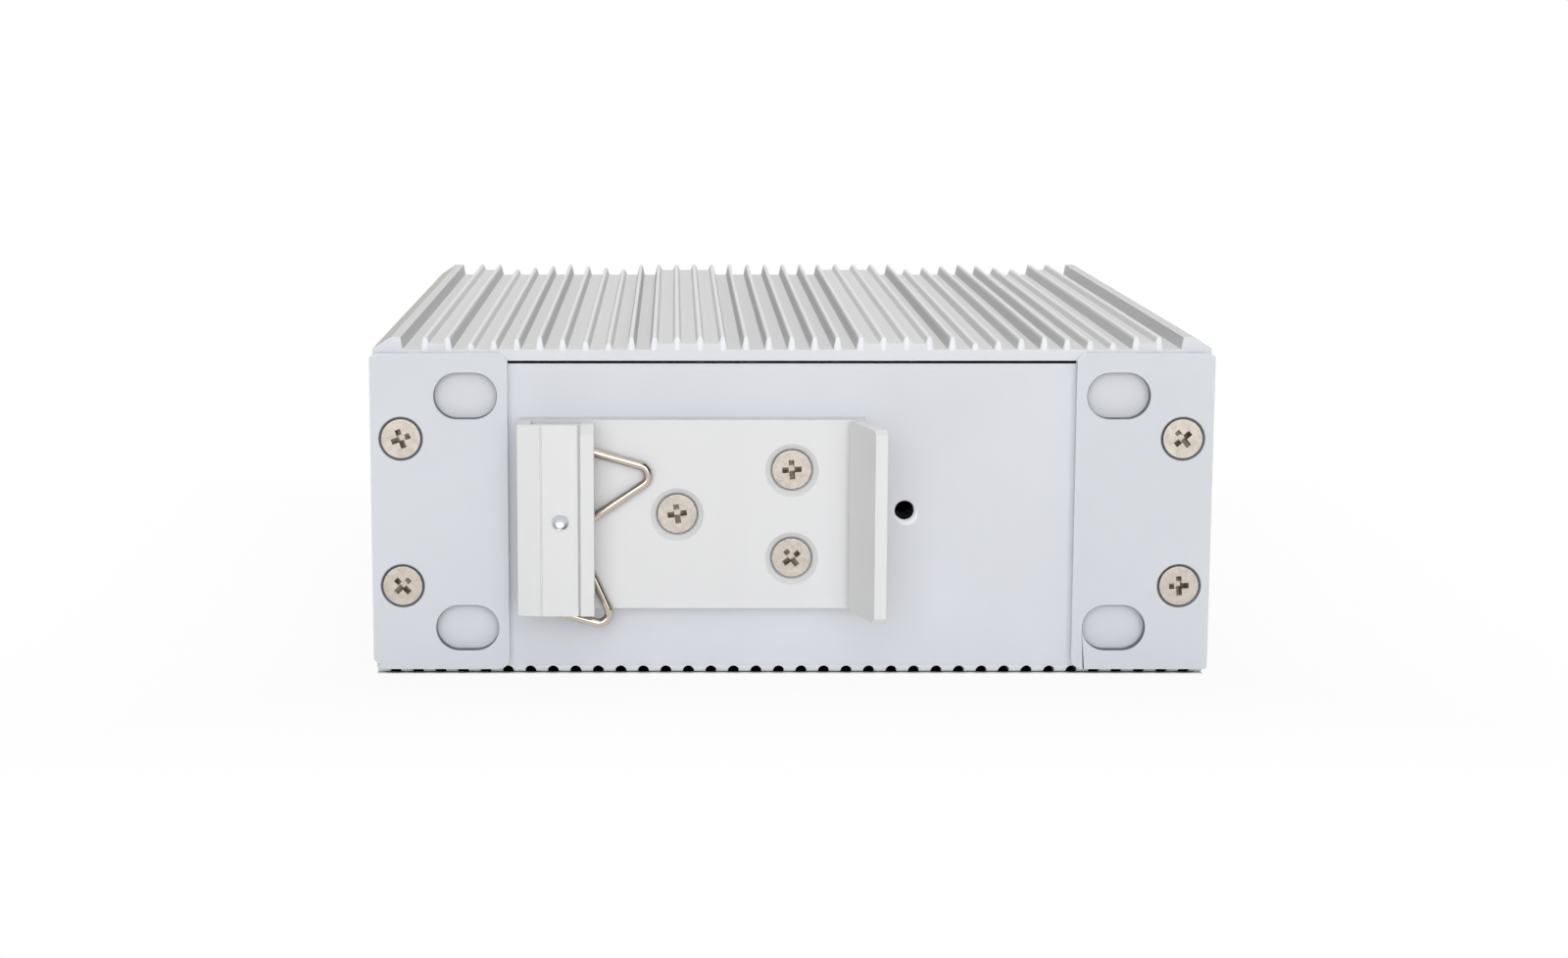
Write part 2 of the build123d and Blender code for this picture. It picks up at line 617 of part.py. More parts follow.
def jack_body(x):
    """Moulded insert of a jack, with the plug's cavity and the latch recess below it."""
    half = JACK_WIDTH / 2 - JACK_SHELL
    back = PANEL_BACK - JACK_DEPTH + JACK_SHELL
    top = BOARD_TOP + JACK_HEIGHT - JACK_SHELL
    end = PANEL_BACK - CAVITY_DEPTH
    body = block(x - half, x + half, back, PANEL_BACK, BOARD_TOP, top)
    body -= block(x - CAVITY_WIDTH / 2, x + CAVITY_WIDTH / 2, end, PANEL_BACK, CAVITY_BASE, CAVITY_TOP)
    latch = LATCH_WIDTH / 2
    return body - block(x - latch, x + latch, end, PANEL_BACK, CAVITY_BASE - LATCH_DROP, CAVITY_BASE)


def jack_contacts(x):
    """Eight sprung contacts that slope down from the cavity's ceiling."""
    heel = PANEL_BACK - CONTACT_HEEL
    knee = heel - CONTACT_HEEL
    tip = knee - CONTACT_SLOPE
    thick = CONTACT_THICKNESS
    side = [
        (heel, CAVITY_TOP),
        (heel, CAVITY_TOP - thick),
        (knee, CAVITY_TOP - thick),
        (tip, CAVITY_TOP - CONTACT_DROP),
        (tip, CAVITY_TOP - CONTACT_DROP + thick),
        (knee, CAVITY_TOP),
    ]
    strip = extrude(Plane.YZ * make_face(Polyline(*side, close=True)), CONTACT_WIDTH / 2, both=True)
    first = x - CONTACT_PITCH * (CONTACT_COUNT - 1) / 2
    return [Pos(first + CONTACT_PITCH * n, 0, 0) * strip for n in range(CONTACT_COUNT)]


def power_header():
    """Open socket for a pluggable power terminal."""
    half = HEADER_WIDTH / 2
    back = FRONT - HEADER_DEPTH
    top = BOARD_TOP + HEADER_HEIGHT
    body = block(HEADER_X - half, HEADER_X + half, back, FRONT, BOARD_TOP, top)
    half -= HEADER_WALL
    inner_back = back + HEADER_FLOOR
    return body - block(
        HEADER_X - half, HEADER_X + half, inner_back, FRONT, BOARD_TOP + HEADER_WALL, top - HEADER_WALL
    )


def header_pins():
    """Square pins on the socket's back wall."""
    level = BOARD_TOP + HEADER_HEIGHT / 2
    start = FRONT - HEADER_DEPTH + HEADER_FLOOR
    pins = []
    for pole in range(HEADER_POLES):
        x = HEADER_X + (pole - (HEADER_POLES - 1) / 2) * HEADER_PITCH
        half = HEADER_PIN / 2
        pins.append(block(x - half, x + half, start, FRONT - HEADER_PIN_RECESS, level - half, level + half))
    return pins


def light_pipe(x):
    """Clear bar from a light on the board, turned by a sloping face to a round lens."""
    half = PIPE_WIDTH / 2
    base = BOARD_TOP + LED_SIZE[2] + LED_GAP
    back = PIPE_Y - half
    outline = [
        (back, base),
        (back, PIPE_LEVEL - half),
        (back + PIPE_WIDTH, PIPE_LEVEL + half),
        (PANEL_BACK, PIPE_LEVEL + half),
        (PANEL_BACK, PIPE_LEVEL - half),
        (back + PIPE_WIDTH, PIPE_LEVEL - half),
        (back + PIPE_WIDTH, base),
    ]
    bar = extrude(Plane.YZ.offset(x - half) * make_face(Polyline(*outline, close=True)), PIPE_WIDTH)
    lens = rod_y(x, PIPE_LEVEL, PANEL_BACK, FRONT + LENS_OUT, LENS_DIAMETER / 2)
    return bar + lens


def heat_block():
    """Aluminium bridge over the switch chip, up to the underside of the cover."""
    half = BLOCK_WIDTH / 2
    deep = BLOCK_DEPTH / 2
    body = block(-half, half, CHIP_Y - deep, CHIP_Y + deep, BOARD_TOP, BLOCK_TOP)
    half -= BLOCK_LEG
    body -= block(-half, half, CHIP_Y - deep, CHIP_Y + deep, BOARD_TOP, BLOCK_POCKET)
    for x in BLOCK_SCREW_XS:
        body -= upright(x, CHIP_Y, BOARD_TOP, BOARD_TOP + BLOCK_SCREW_DEPTH, BLOCK_SCREW_BORE / 2)
    return body


def block_screw(x):
    """A small screw from below the board into the heat block."""
    radius = BLOCK_SCREW_BORE / 2 - THREAD_GAP
    end = BOARD_TOP + BLOCK_SCREW_DEPTH - BLOCK_SCREW_END_GAP
    head = upright(x, CHIP_Y, BOARD_UNDER - BLOCK_SCREW_HEAD_HEIGHT, BOARD_UNDER, BLOCK_SCREW_HEAD / 2)
    return head + upright(x, CHIP_Y, BOARD_UNDER, end, radius)


def thermal_pads():
    """Soft pads under and over the heat block."""
    lower = standing(0, CHIP_Y, BOARD_TOP + CHIP_HEIGHT, (PAD_SIZE, PAD_SIZE, LOWER_PAD))
    upper = standing(0, CHIP_Y, BLOCK_TOP, (BLOCK_WIDTH, BLOCK_DEPTH, UPPER_PAD))
    return [lower, upper]


def ground_screw():
    """Pan head screw with its shank, over the washer."""
    face = FRONT + GROUND_WASHER_THICKNESS
    head = rod_y(HEADER_X, GROUND_Z, face, face + GROUND_HEAD_HEIGHT, GROUND_HEAD / 2)
    head = fillet(head.edges().group_by(Axis.Y)[-1], PAN_EDGE)
    return head + rod_y(HEADER_X, GROUND_Z, face - GROUND_LENGTH, face, GROUND_SHANK / 2)


def ground_washer():
    """Flat washer under the ground screw."""
    top = FRONT + GROUND_WASHER_THICKNESS
    ring = rod_y(HEADER_X, GROUND_Z, FRONT, top, GROUND_WASHER / 2)
    return ring - rod_y(HEADER_X, GROUND_Z, FRONT, top, GROUND_SHANK / 2 + FIT_GAP)


def ground_nut():
    """Hexagonal nut behind the tray's front lip."""
    nut = extrude(RegularPolygon(GROUND_NUT_FLATS / sqrt(3), 6), GROUND_NUT_HEIGHT)
    nut -= Cylinder(GROUND_SHANK / 2 + THREAD_GAP, GROUND_NUT_HEIGHT, align=(MID, MID, LOW))
    return Pos(HEADER_X, PANEL_BACK - SHEET, GROUND_Z) * Rot(90, 0, 0) * nut


def capacitor(y):
    """An upright can capacitor."""
    can = upright(CAPACITOR_X, y, BOARD_TOP, BOARD_TOP + CAPACITOR_HEIGHT, CAPACITOR_DIAMETER / 2)
    return fillet(can.edges().group_by(Axis.Z)[-1], PAN_EDGE)


def power_inductor():
    """A square moulded coil."""
    body = standing(*INDUCTOR_SPOT, BOARD_TOP, (INDUCTOR_SIZE, INDUCTOR_SIZE, INDUCTOR_HEIGHT))
    return chamfer(body.edges().filter_by(Axis.Z), BEND_RADIUS)


def build_nodes():
    """Every sub-part by its node name."""
    corners = [(side * PORT_X, level) for side in (-1, 1) for level in PORT_LEVELS]
    clip_screw_face = PLATE_FACE + (CLIP_COUNTERSINK - EAR_COUNTERSINK) / 2
    nodes = {
        "finned_cover": finned_cover(),
        "chassis_tray": chassis_tray(),
        "front_panel": front_panel(),
        "wall_ear_left": wall_ear(-1, EAR_LEFT_CUT),
        "wall_ear_right": wall_ear(1, EAR_RIGHT_CUT),
        "ear_screws": [flat_head_screw(x, z, EAR_FACE, SCREW_LENGTH) for x, z in corners],
        "front_screws": [pan_head_screw(x, z, FRONT, SCREW_LENGTH) for x, z in corners],
        "lip_screws": [
            pan_head_screw(side * LIP_SCREW_X, LIP_SCREW_Z, FRONT, LIP_SCREW_LENGTH) for side in (-1, 1)
        ],
        "rail_clip": rail_clip(),
        "clip_spring": clip_spring(),
        "clip_screws": [flat_head_screw(x, z, clip_screw_face, SCREW_LENGTH) for x, z in CLIP_HOLES],
        "threaded_bosses": [threaded_boss(x, z) for x, z in CLIP_HOLES + (SPARE_HOLE,)],
        "circuit_board": circuit_board(),
        "board_standoffs": [standoff(x, y) for x, y in STANDOFF_SPOTS],
        "board_screws": [board_screw(x, y) for x, y in STANDOFF_SPOTS],
        "power_header": power_header(),
        "header_pins": header_pins(),
        "light_pipes": [light_pipe(x) for x in PIPE_XS],
        "indicator_leds": [standing(x, PIPE_Y, BOARD_TOP, LED_SIZE) for x in PIPE_XS],
        "switch_chip": standing(0, CHIP_Y, BOARD_TOP, (CHIP_SIZE, CHIP_SIZE, CHIP_HEIGHT)),
        "thermal_pads": thermal_pads(),
        "heat_block": heat_block(),
        "heat_block_screws": [block_screw(x) for x in BLOCK_SCREW_XS],
        "port_magnetics": [standing(x, MAGNETICS_Y, BOARD_TOP, MAGNETICS_SIZE) for x in JACK_XS],
        "capacitors": [capacitor(y) for y in CAPACITOR_YS],
        "power_inductor": power_inductor(),
        "power_converter": standing(*CONVERTER_SPOT, BOARD_TOP, CONVERTER_SIZE),
        "clock_crystal": standing(*CRYSTAL_SPOT, BOARD_TOP, CRYSTAL_SIZE),
        "memory_chip": standing(*MEMORY_SPOT, BOARD_TOP, MEMORY_SIZE),
        "ground_screw": ground_screw(),
        "ground_washer": ground_washer(),
        "ground_nut": ground_nut(),
    }
    for number, x in enumerate(JACK_XS, start=1):
        nodes[f"jack_shell_{number}"] = jack_shell(x)
        nodes[f"jack_body_{number}"] = jack_body(x)
        nodes[f"jack_contacts_{number}"] = jack_contacts(x)
    return nodes


def main():
    os.makedirs("parts", exist_ok=True)
    for name, shape in build_nodes().items():
        if isinstance(shape, list):
            shape = Compound(children=shape)
        export_step(shape, f"parts/{name}.step")


main()
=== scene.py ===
import json
import math
from collections import namedtuple

import bmesh
import bpy
from mathutils import Matrix, Vector

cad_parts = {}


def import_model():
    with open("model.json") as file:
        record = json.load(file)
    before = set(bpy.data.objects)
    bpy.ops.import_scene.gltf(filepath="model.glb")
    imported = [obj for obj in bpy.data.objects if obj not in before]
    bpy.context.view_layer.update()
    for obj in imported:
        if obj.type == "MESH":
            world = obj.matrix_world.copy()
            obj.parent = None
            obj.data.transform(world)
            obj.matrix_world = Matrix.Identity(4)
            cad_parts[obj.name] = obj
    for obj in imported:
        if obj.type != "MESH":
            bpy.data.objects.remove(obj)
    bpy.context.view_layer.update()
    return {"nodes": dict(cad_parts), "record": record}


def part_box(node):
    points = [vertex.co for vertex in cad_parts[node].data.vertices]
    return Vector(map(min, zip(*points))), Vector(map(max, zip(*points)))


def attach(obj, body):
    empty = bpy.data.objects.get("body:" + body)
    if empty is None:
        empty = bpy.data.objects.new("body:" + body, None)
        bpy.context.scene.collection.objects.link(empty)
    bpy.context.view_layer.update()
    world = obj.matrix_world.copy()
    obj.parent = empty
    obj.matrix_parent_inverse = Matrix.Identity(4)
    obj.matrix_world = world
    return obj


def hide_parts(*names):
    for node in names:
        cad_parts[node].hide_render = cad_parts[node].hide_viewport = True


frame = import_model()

MM = 0.001

# Camera, fitted to the photograph's fins, ears, slots and screws: place in millimetres, pitch in radians
CAMERA_PLACE = (-15.44, -430.38, 85.15)
CAMERA_PITCH = -0.1568
FOCAL_PIXELS = 2925
SHIFT_PIXELS = 112.4
PHOTO_WIDTH = 1600
SENSOR_WIDTH = 36.0
NEAREST = 0.01
FARTHEST = 50.0

# Soft boxes: place, aim and size in metres, power in watts, colour
SOFT_BOXES = {
    "front_light": ((0.0, -1.1, 0.13), (0, 0, 0.02), (1.2, 0.9), 8.4, (0.955, 0.97, 1.0)),
    "key_light": ((0.05, -0.75, 0.65), (0, 0, 0.02), (0.45, 0.45), 0.9, (1, 1, 1)),
    "top_light": ((0.0, 0.45, 0.85), (0, 0, 0), (0.7, 0.7), 3.85, (1.0, 0.945, 0.87)),
}

# World: its strength on dull surfaces, and the dim gaps that gloss shows in it, by their angles in degrees
WORLD_STRENGTH = 0.37
STUDIO_GAP = 0.12
GAP_ELEVATIONS = (24, 58)
GAP_SIDEWAYS = 32

# Floor: size in metres, shade, lit edge before the painted shadow under the case in millimetres, glow and
# its reach in metres
FLOOR_SIZE = 6.0
FLOOR_WHITE = 0.9
FLOOR_LIT = 0.9
GLOW_NEAR = 0.9
GLOW_REACH = 0.06

# Round edges: widths in millimetres, angles in degrees that count as flat and as an edge, steps and weld
EDGE_WIDTHS = {
    "chassis_tray": 0.2,
    "front_panel": 0.2,
    "finned_cover": 0.1,
    "wall_ear_left": 0.15,
    "wall_ear_right": 0.15,
    "rail_clip": 0.12,
}
FLAT_ANGLE = 1
EDGE_ANGLE = 35
EDGE_STEPS = 2
NORMAL_WEIGHT = 100
WELD_GAP = 0.000001

# Pieces whose edges keep their full width where they run close together
FULL_EDGES = ("finned_cover",)

# Screws with a cross recess: head in millimetres, way into the case along Y, turn of each recess in degrees
SCREWS = {
    "ear_screws": (5.45, 1, (45, 20, 3, 40)),
    "clip_screws": (5.45, 1, (8, 38, 4)),
    "front_screws": (5.5, -1, (12, 71, 33, 52)),
    "lip_screws": (5.5, -1, (64, 25)),
    "ground_screw": (7.0, -1, (30,)),
}

# Round edge of those screws in millimetres, and the decimals of a metre that put them in order
HEAD_EDGE = 0.1
ORDER_DECIMALS = 5

# Share of their width at which some screws are drawn, which leaves a narrow ring round each
HEAD_FIT = {"ear_screws": 0.96, "clip_screws": 0.95}

# Cross recess in head radii: half width and reach of its arms at the face and the bottom, start and depth
RECESS_FACE = (0.14, 0.49)
RECESS_BASE = (0.1, 0.14)
RECESS_START = -0.1
RECESS_DEPTH = 0.6
RECESS_ARMS = 4

# Dish in the dimple of the clip's head: place, radius and depths in millimetres, share of its last ring
PUNCH_INSET = 5.57
PUNCH_DROP = 0.15
PUNCH_RADIUS = 1.15
PUNCH_RIM = 0.02
PUNCH_DEPTH = 0.42
DISH_CENTRE = 0.02
DISH_RINGS = 8
DISH_SIDES = 32

# Noise: the span that is spread over a range, and the scales of an even grain
NOISE_SPAN = (0.3, 0.7)
EVEN = (1, 1, 1)

# Kinds of surface: noises by scale per metre and detail, relief in metres, spread of shade and roughness
Kind = namedtuple("Kind", "drift gloss relief height shade smoother duller")
POWDER = Kind(
    drift=(60, 4), gloss=(900, 2), relief=(2600, 3), height=0.00002, shade=2, smoother=0.05, duller=0.07
)
METAL = Kind(
    drift=(400, 3), gloss=(1500, 3), relief=(3000, 3), height=0.00001, shade=4, smoother=0.06, duller=0.08
)
PLASTIC = Kind(
    drift=(150, 4), gloss=(1200, 3), relief=(3500, 2), height=0.00001, shade=3, smoother=0.04, duller=0.08
)

# Coats: screen colour from 0 to 255, roughness, and how the noise is scaled along each axis
COATS = {
    "cover_coat": ((225, 227, 231), 0.55, (1, 0.03, 1)),
    "panel_coat": ((221, 223, 228), 0.5, EVEN),
    "ear_coat": ((216, 219, 224), 0.5, EVEN),
    "clip_aluminium": ((229, 229, 229), 0.38, (1, 1, 0.1)),
}
COAT_GRAIN = 0.5
COAT_SPECULAR = 0.45

# Bare metals: screen colour from 0 to 255, roughness and strength of the grain
METALS = {
    "nickel_screws": ((190, 182, 172), 0.26, 0.06),
    "spring_wire": ((192, 183, 170), 0.09, 0.05),
    "plated_steel": ((190, 190, 190), 0.3, 0.35),
    "brass_plated": ((212, 184, 120), 0.28, 0.35),
    "contact_gold": ((222, 184, 108), 0.22, 0.35),
    "bare_aluminium": ((200, 202, 205), 0.35, 0.35),
    "jack_metal": ((196, 195, 192), 0.24, 0.35),
}

# Plastics: screen colour from 0 to 255 and roughness
PLASTICS = {
    "board_laminate": ((24, 88, 50), 0.35),
    "header_plastic": ((44, 128, 78), 0.42),
    "led_body": ((225, 222, 200), 0.3),
    "chip_black": ((34, 34, 36), 0.45),
    "ferrite": ((58, 58, 60), 0.6),
    "pad_rubber": ((140, 152, 170), 0.75),
    "jack_plastic": ((30, 30, 31), 0.5),
}
PLASTIC_GRAIN = 0.3

# Clear plastic of the light pipes: linear colour, roughness, noise, share let through, refraction
CLEAR_COLOR = (0.92, 0.95, 0.93)
CLEAR_ROUGHNESS = 0.08
CLEAR_RANGE = (0.05, 0.14)
CLEAR_NOISE = (800, 2)
CLEAR_THROUGH = 0.85
CLEAR_IOR = 1.49

# Painted shades and highlights laid over the coats, as screen colours from 0 to 255
SLOT_PAINTED_SHADE = (112, 114, 120)
RING_PAINTED_SHADE = (190, 190, 191)
PAINTED_HIGHLIGHT = (250, 251, 253)
INNER_PAINTED_SHADE = (24, 24, 26)
SLOPE_PAINTED_SHADE = (196, 194, 189)
FLANK_PAINTED_SHADE = (148, 145, 139)

# How strongly some of those shades are laid on
EDGE_HIGHLIGHT = 0.8
TIP_HIGHLIGHT = 0.7
SLOPE_SHADE_SHARE = 0.8
FLANK_SHADE_SHARE = 0.43
CORNER_SHARE = 0.6

# Parts of a face's normal between which a shade sets in
HIGHLIGHT_SPAN = (0.985, 0.85)
SLOT_SHADE_SPAN = (0.97, 0.8)
STEEP_SPAN = (0.6, 0.85)
SLOPE_SPAN = (0.75, 0.93)

# Reach in millimetres of the painted shade in the ears' slots, inside the case and round the clip's screws
SLOT_SHADE_MARGIN = 0.6
SKIN = 0.25
BEND = 1.5
SIDE_WALL = 1.3
ROOF_GAP = 0.45
RING_MARGIN = 0.25
RING_START = 0.1

# Ribs and upper corners of the cover in millimetres, with the spans counted from a rib's middle
RIB_PITCH = 3.0
RIB_HEIGHT = 1.7
FIT = 0.05
FLANK_SPAN = (0.24, 0.34)
TIP_SPAN = (0.34, 0.24)
CORNER_FLANK = (4.1, 3.65)
CORNER_SLOPE = 2.6

# Painted highlight at the rim of the spare hole: greatest width, way to its widest place, blur and depth in
# millimetres
SPARE_RIM = 0.75
SPARE_LEAN = (0.5, 0.87)
SPARE_BLUR = 0.12
SPARE_DEPTH = 0.7


def camera():
    """The camera of the photograph."""
    data = bpy.data.cameras.new("camera")
    data.sensor_width = SENSOR_WIDTH
    data.lens = FOCAL_PIXELS / PHOTO_WIDTH * SENSOR_WIDTH
    data.shift_x = SHIFT_PIXELS / PHOTO_WIDTH
    data.clip_start = NEAREST
    data.clip_end = FARTHEST
    cam = bpy.data.objects.new("camera", data)
    bpy.context.scene.collection.objects.link(cam)
    turn = Matrix.Rotation(CAMERA_PITCH + math.radians(90), 4, "X")
    cam.matrix_world = Matrix.Translation(Vector(CAMERA_PLACE) * MM) @ turn
    bpy.context.scene.camera = cam


def soft_box(name, place, aim, size, power, color):
    """A soft box at a place that looks at a point."""
    data = bpy.data.lights.new(name, "AREA")
    data.shape = "RECTANGLE"
    data.size, data.size_y = size
    data.energy = power
    data.color = color
    light = bpy.data.objects.new(name, data)
    bpy.context.scene.collection.objects.link(light)
    light.location = place
    light.rotation_euler = (Vector(aim) - Vector(place)).to_track_quat("-Z", "Y").to_euler()


def lights():
    """A wide cool soft box in front, a small one above it and a warm one overhead."""
    for name, values in SOFT_BOXES.items():
        soft_box(name, *values)


def operate(tree, operation, first, second=None):
    """One step of arithmetic on sockets or numbers."""
    step = tree.nodes.new("ShaderNodeMath")
    step.operation = operation
    for socket, value in zip(step.inputs, (first, second)):
        if isinstance(value, (int, float)):
            socket.default_value = value
        elif value is not None:
            tree.links.new(value, socket)
    return step.outputs["Value"]


def product(tree, *shares):
    """All shares multiplied."""
    total = shares[0]
    for share in shares[1:]:
        total = operate(tree, "MULTIPLY", total, share)
    return total


def length(tree, first, second):
    """Distance between two points from their distances along two axes."""
    squares = operate(tree, "ADD", product(tree, first, first), product(tree, second, second))
    return operate(tree, "SQRT", squares)


def between(tree, value, start, end):
    """1 where a value lies between two limits."""
    above = operate(tree, "GREATER_THAN", value, start)
    return operate(tree, "MULTIPLY", above, operate(tree, "LESS_THAN", value, end))


def axes(tree, source):
    """The three parts of a vector."""
    split = tree.nodes.new("ShaderNodeSeparateXYZ")
    tree.links.new(source, split.inputs["Vector"])
    return split.outputs["X"], split.outputs["Y"], split.outputs["Z"]


def ramp(tree, source, start, end, low=0, high=1):
    """Low to high as a value goes from start to end, in either direction."""
    reach = tree.nodes.new("ShaderNodeMapRange")
    for name, value in (("From Min", start), ("From Max", end), ("To Min", low), ("To Max", high)):
        reach.inputs[name].default_value = value
    tree.links.new(source, reach.inputs["Value"])
    return reach.outputs["Result"]


class Shader:
    """A node material with one Principled shader and a few short ways to feed it."""

    def __init__(self, name, color, roughness, metallic=0.0):
        self.material = bpy.data.materials.new(name)
        self.material.use_nodes = True
        self.tree = self.material.node_tree
        self.surface = self.tree.nodes["Principled BSDF"]
        self.surface.inputs["Base Color"].default_value = (*color, 1)
        self.surface.inputs["Roughness"].default_value = roughness
        self.surface.inputs["Metallic"].default_value = metallic
        texture = self.tree.nodes.new("ShaderNodeTexCoord")
        self.place = texture.outputs["Object"]
        self.normal = texture.outputs["Normal"]

    def noise(self, scale, detail, stretch=EVEN):
        """Noise in the object's own space, scaled per metre."""
        mapping = self.tree.nodes.new("ShaderNodeMapping")
        mapping.inputs["Scale"].default_value = stretch
        self.tree.links.new(self.place, mapping.inputs["Vector"])
        texture = self.tree.nodes.new("ShaderNodeTexNoise")
        texture.inputs["Scale"].default_value = scale
        texture.inputs["Detail"].default_value = detail
        self.tree.links.new(mapping.outputs["Vector"], texture.inputs["Vector"])
        return texture.outputs["Fac"]

    def mottle(self, source, dark, light):
        """Colour that drifts between two shades."""
        mix = self.tree.nodes.new("ShaderNodeMix")
        mix.data_type = "RGBA"
        mix.inputs["A"].default_value = (*dark, 1)
        mix.inputs["B"].default_value = (*light, 1)
        self.tree.links.new(ramp(self.tree, source, *NOISE_SPAN), mix.inputs["Factor"])
        self.tree.links.new(mix.outputs["Result"], self.surface.inputs["Base Color"])

    def uneven(self, source, low, high):
        """Roughness that drifts between two values."""
        drift = ramp(self.tree, source, *NOISE_SPAN, low, high)
        self.tree.links.new(drift, self.surface.inputs["Roughness"])

    def bump(self, source, height, strength):
        """Surface relief of a height in metres."""
        made = self.tree.nodes.new("ShaderNodeBump")
        made.inputs["Strength"].default_value = strength
        made.inputs["Distance"].default_value = height
        self.tree.links.new(source, made.inputs["Height"])
        self.tree.links.new(made.outputs["Normal"], self.surface.inputs["Normal"])

    def shade_over(self, share, shade):
        """Lays another shade over a share of the surface."""
        color = self.surface.inputs["Base Color"]
        mix = self.tree.nodes.new("ShaderNodeMix")
        mix.data_type = "RGBA"
        self.tree.links.new(color.links[0].from_socket, mix.inputs["A"])
        mix.inputs["B"].default_value = (*linear(*shade), 1)
        self.tree.links.new(share, mix.inputs["Factor"])
        self.tree.links.new(mix.outputs["Result"], color)


def linear(red, green, blue):
    """Screen colour from 0 to 255 as linear light, by the usual formula for screens."""
    values = []
    for value in (red, green, blue):
        share = value / 255
        values.append(share / 12.92 if share <= 0.04045 else ((share + 0.055) / 1.055) ** 2.4)
    return tuple(values)


def shades(color, spread):
    """A darker and a lighter shade around a screen colour."""
    return linear(*(c - spread for c in color)), linear(*(min(c + spread, 255) for c in color))


def grained(name, kind, color, roughness, strength, stretch=EVEN, metallic=0.0):
    """A surface with the drift in shade and gloss and the fine relief of its kind."""
    made = Shader(name, linear(*color), roughness, metallic)
    made.mottle(made.noise(*kind.drift, stretch), *shades(color, kind.shade))
    made.uneven(made.noise(*kind.gloss), roughness - kind.smoother, roughness + kind.duller)
    made.bump(made.noise(*kind.relief, stretch), kind.height, strength)
    return made


def powder_coat(name):
    """Fine grained coat, with the grain drawn out along an extrusion where it has one."""
    color, roughness, stretch = COATS[name]
    coat = grained(name, POWDER, color, roughness, COAT_GRAIN, stretch)
    coat.surface.inputs["Specular IOR Level"].default_value = COAT_SPECULAR
    return coat


def painted_edge_highlights(coat, where=1):
    """Painted highlight on edges and bends, lighter where the normal leans away from the axes."""
    steepest = 0
    for part in axes(coat.tree, coat.normal):
        steepest = operate(coat.tree, "MAXIMUM", steepest, operate(coat.tree, "ABSOLUTE", part))
    share = product(coat.tree, ramp(coat.tree, steepest, *HIGHLIGHT_SPAN), EDGE_HIGHLIGHT, where)
    coat.shade_over(share, PAINTED_HIGHLIGHT)


def painted_slot_shade(coat, name):
    """Painted shade on the walls of the slots and the countersinks of an ear, away from its outline."""
    tree = coat.tree
    low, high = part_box(name)
    facing = operate(tree, "ABSOLUTE", axes(tree, coat.normal)[1])
    x, _, z = axes(tree, coat.place)
    share = product(
        tree,
        ramp(tree, facing, *SLOT_SHADE_SPAN),
        between(tree, x, low.x + SLOT_SHADE_MARGIN * MM, high.x - SLOT_SHADE_MARGIN * MM),
        between(tree, z, low.z + SLOT_SHADE_MARGIN * MM, high.z - SLOT_SHADE_MARGIN * MM),
    )
    coat.shade_over(share, SLOT_PAINTED_SHADE)


def painted_inner_shade(coat):
    """Painted shade on the inner side of the case, behind its bent lower rear edge and under the cover's
    roof.
    """
    tree = coat.tree
    low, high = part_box("chassis_tray")
    x, y, z = axes(tree, coat.place)
    behind = operate(tree, "MAXIMUM", operate(tree, "SUBTRACT", low.y + BEND * MM, y), 0)
    under = operate(tree, "MAXIMUM", operate(tree, "SUBTRACT", low.z + BEND * MM, z), 0)
    share = product(
        tree,
        operate(tree, "LESS_THAN", length(tree, behind, under), (BEND - SKIN) * MM),
        operate(tree, "LESS_THAN", operate(tree, "ABSOLUTE", x), high.x - SIDE_WALL * MM),
        operate(tree, "LESS_THAN", y, high.y),
        operate(tree, "LESS_THAN", z, high.z + ROOF_GAP * MM),
    )
    coat.shade_over(share, INNER_PAINTED_SHADE)


def shaded_ribs(coat):
    """The cover's ribs, with a painted highlight at their tips and painted shade down their flanks and
    those of the corners.
    """
    tree = coat.tree
    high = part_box("finned_cover")[1]
    x, _, z = axes(tree, coat.place)
    steep = operate(tree, "ABSOLUTE", axes(tree, coat.normal)[0])
    aside = operate(tree, "ABSOLUTE", x)
    off_centre = operate(tree, "PINGPONG", x, RIB_PITCH / 2 * MM)
    ribs = product(
        tree,
        operate(tree, "GREATER_THAN", z, high.z - (RIB_HEIGHT + FIT) * MM),
        operate(tree, "LESS_THAN", aside, high.x - CORNER_FLANK[0] * MM),
    )
    corner = between(tree, aside, *(high.x - width * MM for width in CORNER_FLANK))
    flank = product(tree, ribs, ramp(tree, off_centre, *(place * MM for place in FLANK_SPAN)))
    flank = operate(tree, "MAXIMUM", flank, product(tree, corner, CORNER_SHARE))
    flank = product(tree, flank, ramp(tree, steep, *STEEP_SPAN))
    coat.shade_over(product(tree, flank, FLANK_SHADE_SHARE), FLANK_PAINTED_SHADE)
    tip = product(tree, ribs, ramp(tree, off_centre, *(place * MM for place in TIP_SPAN)))
    coat.shade_over(product(tree, tip, TIP_HIGHLIGHT), PAINTED_HIGHLIGHT)


